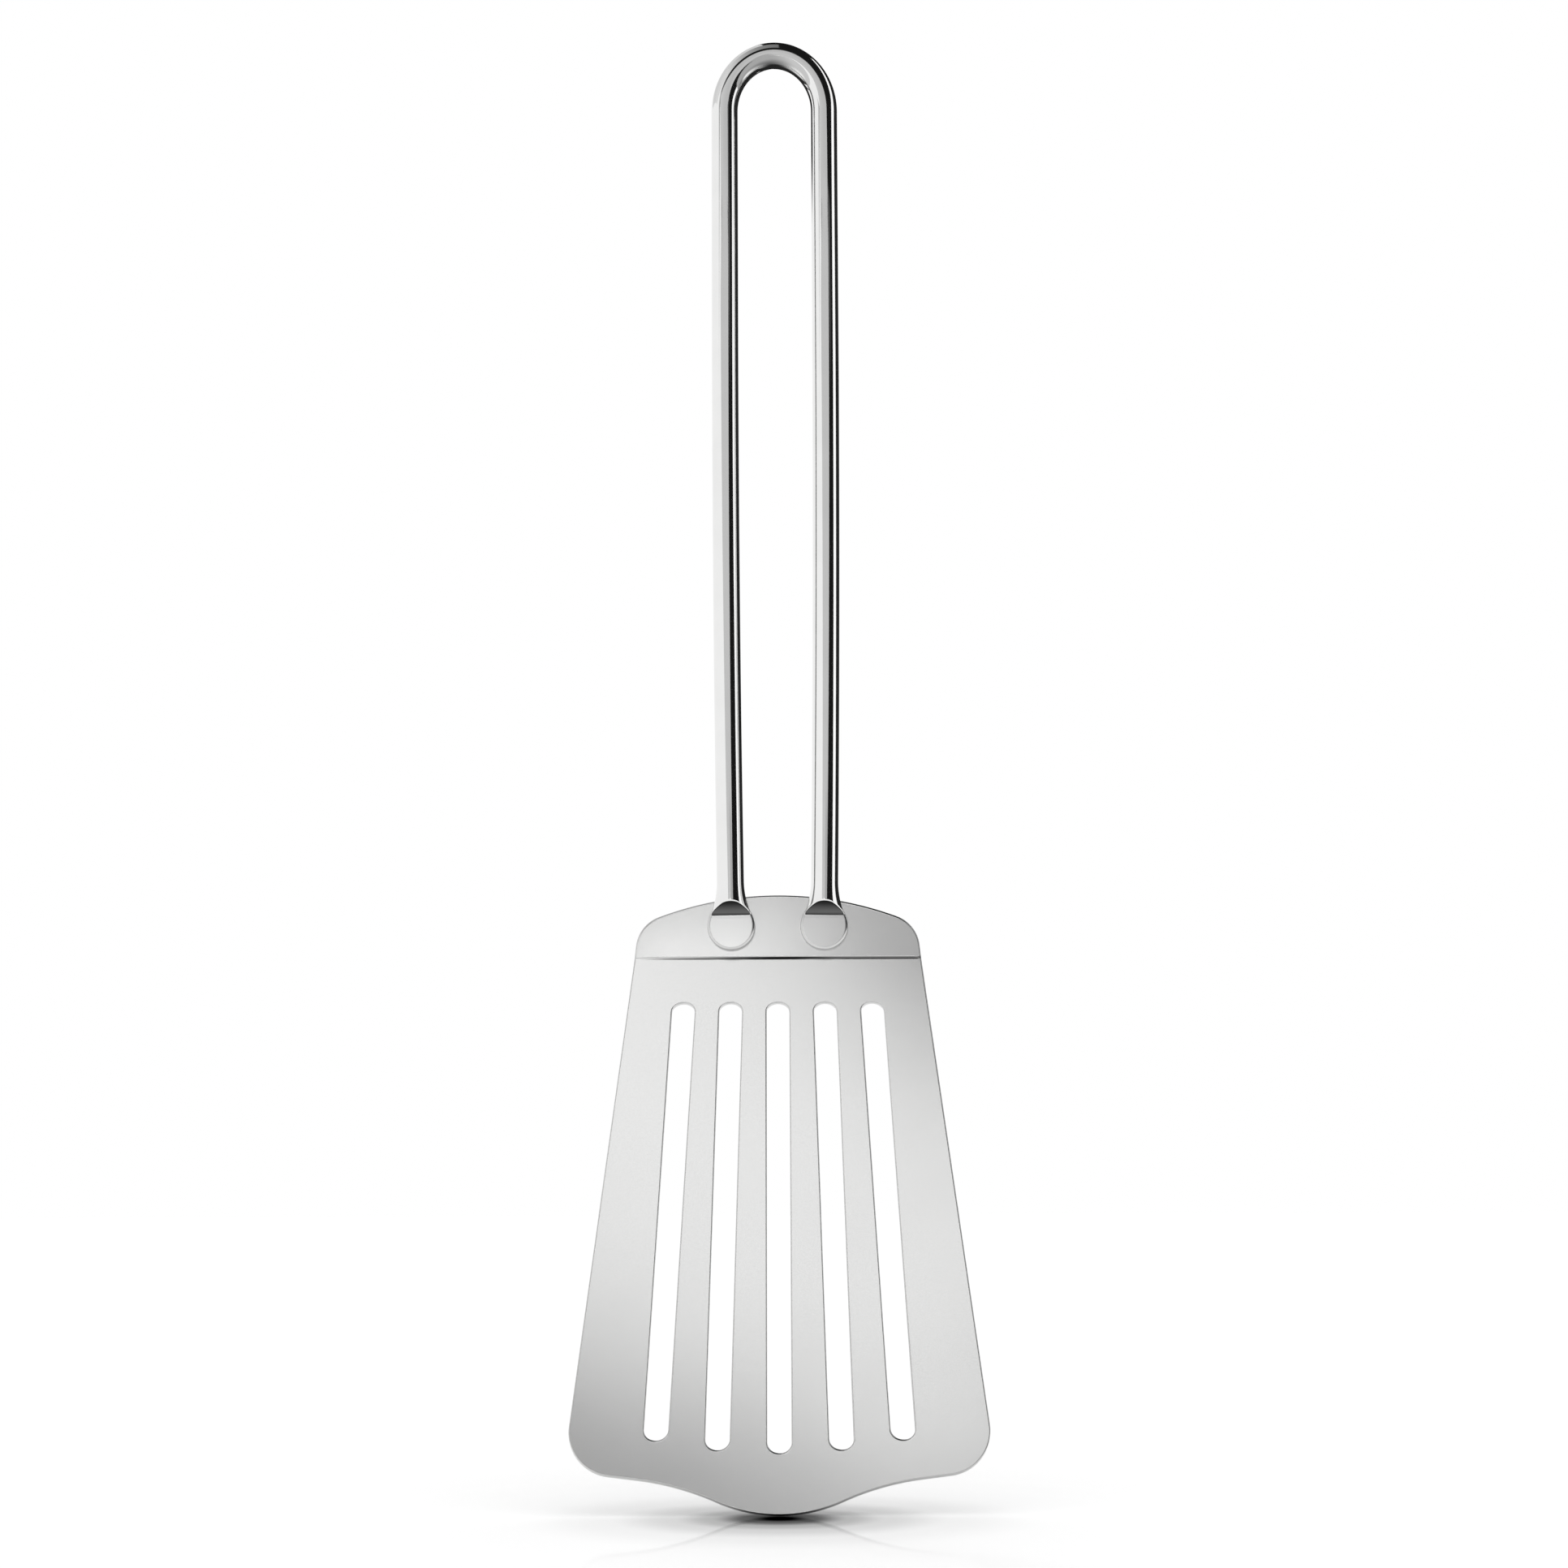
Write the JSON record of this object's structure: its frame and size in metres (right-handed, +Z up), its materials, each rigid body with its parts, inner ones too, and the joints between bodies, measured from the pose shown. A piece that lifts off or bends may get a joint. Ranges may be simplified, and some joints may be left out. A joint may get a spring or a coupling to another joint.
{
  "type": "slotted spatula",
  "caption": "Slotted steel spatula: a folded sheet blade with fanned slots and a rounded tongue, on a looped rod handle whose forged feet are welded to the blade's flange.",
  "frame": {"origin": "inside crown of the hanging loop, on the plane of the rod's centre line", "axes": "+Z up the plumb handle, +X to the right seen from the food side, the food side of the blade toward -Y"},
  "size_m": [0.0874, 0.0392, 0.3278],
  "materials": {
    "satin_steel": "satin",
    "polished_steel": "polished",
    "weld_steel": "dull"
  },
  "bodies": {
    "root": {"blade": "satin_steel", "handle": "polished_steel", "weld_left": "weld_steel", "weld_right": "weld_steel"}
  },
  "joints": []
}
